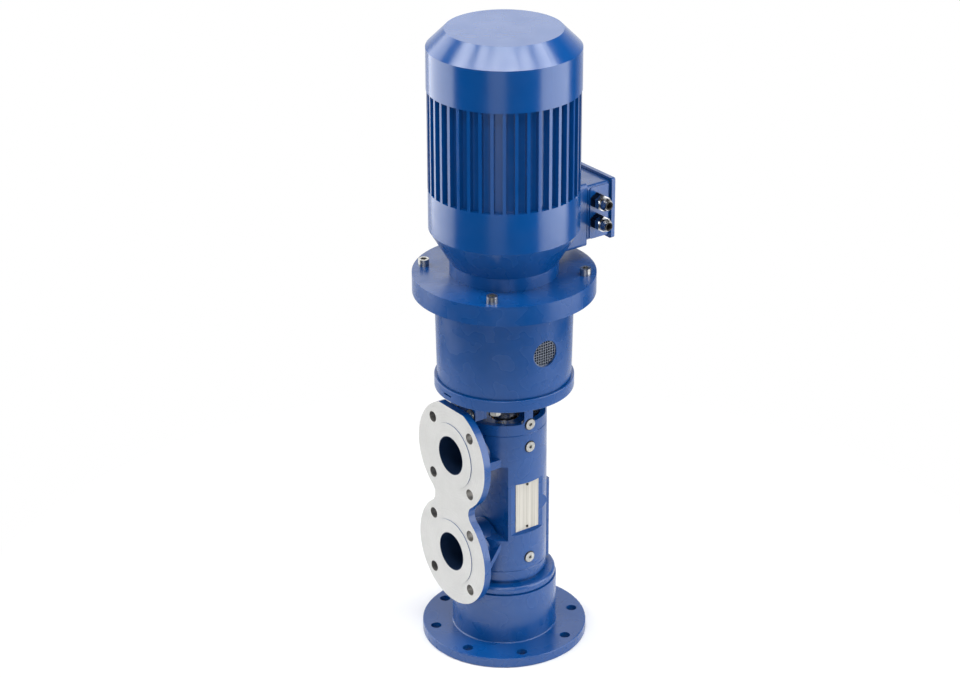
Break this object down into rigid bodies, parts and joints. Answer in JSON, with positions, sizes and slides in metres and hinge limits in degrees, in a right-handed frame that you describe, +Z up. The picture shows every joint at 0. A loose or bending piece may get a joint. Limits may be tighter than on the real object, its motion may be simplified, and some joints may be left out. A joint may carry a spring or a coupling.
{
  "type": "vertical screw pump",
  "caption": "Vertical three-screw pump on a round foot, with two side-by-side pipe ports on one flange plate and an electric motor flanged on top through a bell-shaped lantern.",
  "frame": {"origin": "centre of the foot's underside, on the pump's axis", "axes": "+Z up along the pump's and motor's axis, -Y out of the two pipe ports, +X to the side with the nameplate and the cable glands"},
  "size_m": [0.3, 0.3343, 1.0765],
  "materials": {
    "bearing_steel": "ground bearing steel",
    "black_rubber": "matt",
    "block_plastic": "moulded phenolic, brass studs",
    "blue_paint": "satin-gloss blue machine enamel",
    "bush_bronze": "turned bronze",
    "carbon": "lapped carbon",
    "core_sheet": "stacked core sheets",
    "coupling_iron": "machined cast iron",
    "fan_plastic": "moulded nylon",
    "gland_nickel": "nickel-plated brass",
    "liner_iron": "honed grey cast iron",
    "plate_metal": "plain nameplate, lightly brushed",
    "rivet_steel": "dark drive rivets",
    "screen_wire": "woven wire",
    "screw_steel": "ground, hardened steel",
    "spider_pu": "moulded polyurethane",
    "winding_copper": "varnished copper wire",
    "zinc": "bright zinc plate"
  },
  "bodies": {
    "frame": {"pedestal": "blue_paint", "foot_screws": "zinc", "bottom_cover": "blue_paint", "bottom_o_ring": "black_rubber", "journal_bushes": "bush_bronze", "pump_housing": "blue_paint", "screw_liner": "liner_iron", "liner_pins": "bearing_steel", "top_cover": "blue_paint", "top_o_ring": "black_rubber", "cover_screws": "zinc", "balance_bush": "bush_bronze", "seal_seat": "carbon", "pump_bearing_outer": "bearing_steel", "bearing_circlip": "rivet_steel", "screw_plugs": "zinc", "plug_seals": "black_rubber", "nameplate": "plate_metal", "nameplate_rivets": "rivet_steel", "lantern": "blue_paint", "lantern_studs": "zinc", "vent_screens": "screen_wire", "flange_screws": "zinc", "drive_end_shield": "blue_paint", "stator_frame": "blue_paint", "stator_core": "core_sheet", "windings": "winding_copper", "rear_end_shield": "blue_paint", "motor_bearing_outers": "bearing_steel", "fan_cowl": "blue_paint", "cowl_screws": "zinc", "terminal_saddle": "blue_paint", "terminal_box": "blue_paint", "terminal_gasket": "black_rubber", "terminal_lid": "blue_paint", "lid_screws": "zinc", "terminal_block": "block_plastic", "gland_bodies": "gland_nickel", "gland_nuts": "gland_nickel", "gland_seals": "black_rubber"},
    "rotor": {"drive_screw": "screw_steel", "pump_key": "screw_steel", "seal_ring": "carbon", "seal_spring": "screw_steel", "pump_bearing_inner": "bearing_steel", "slinger_sleeve": "screw_steel", "pump_hub": "coupling_iron", "coupling_spider": "spider_pu", "motor_hub": "coupling_iron", "hub_screws": "rivet_steel", "motor_shaft": "screw_steel", "rotor_core": "core_sheet", "motor_bearing_inners": "bearing_steel", "cooling_fan": "fan_plastic"},
    "bearing_cages": {"bearing_cages": "bush_bronze"},
    "idler_left": {"idler_screw_left": "screw_steel"},
    "idler_right": {"idler_screw_right": "screw_steel"}
  },
  "joints": [
    {"name": "rotor_spin", "type": "hinge", "parent": "frame", "child": "rotor", "pos_m": [0, 0, 0.5], "axis": [0, 0, 1], "continuous": true},
    {"name": "cage_spin", "type": "hinge", "parent": "frame", "child": "bearing_cages", "pos_m": [0, 0, 0.7], "axis": [0, 0, 1], "continuous": true},
    {"name": "idler_left_spin", "type": "hinge", "parent": "frame", "child": "idler_left", "pos_m": [-0.027, 0, 0.27], "axis": [0, 0, 1], "continuous": true},
    {"name": "idler_right_spin", "type": "hinge", "parent": "frame", "child": "idler_right", "pos_m": [0.027, 0, 0.27], "axis": [0, 0, 1], "continuous": true}
  ],
  "couplings": [
    {"joint": "cage_spin", "follows": "rotor_spin", "ratio": 0.4},
    {"joint": "idler_left_spin", "follows": "rotor_spin", "ratio": -1},
    {"joint": "idler_right_spin", "follows": "rotor_spin", "ratio": -1}
  ]
}
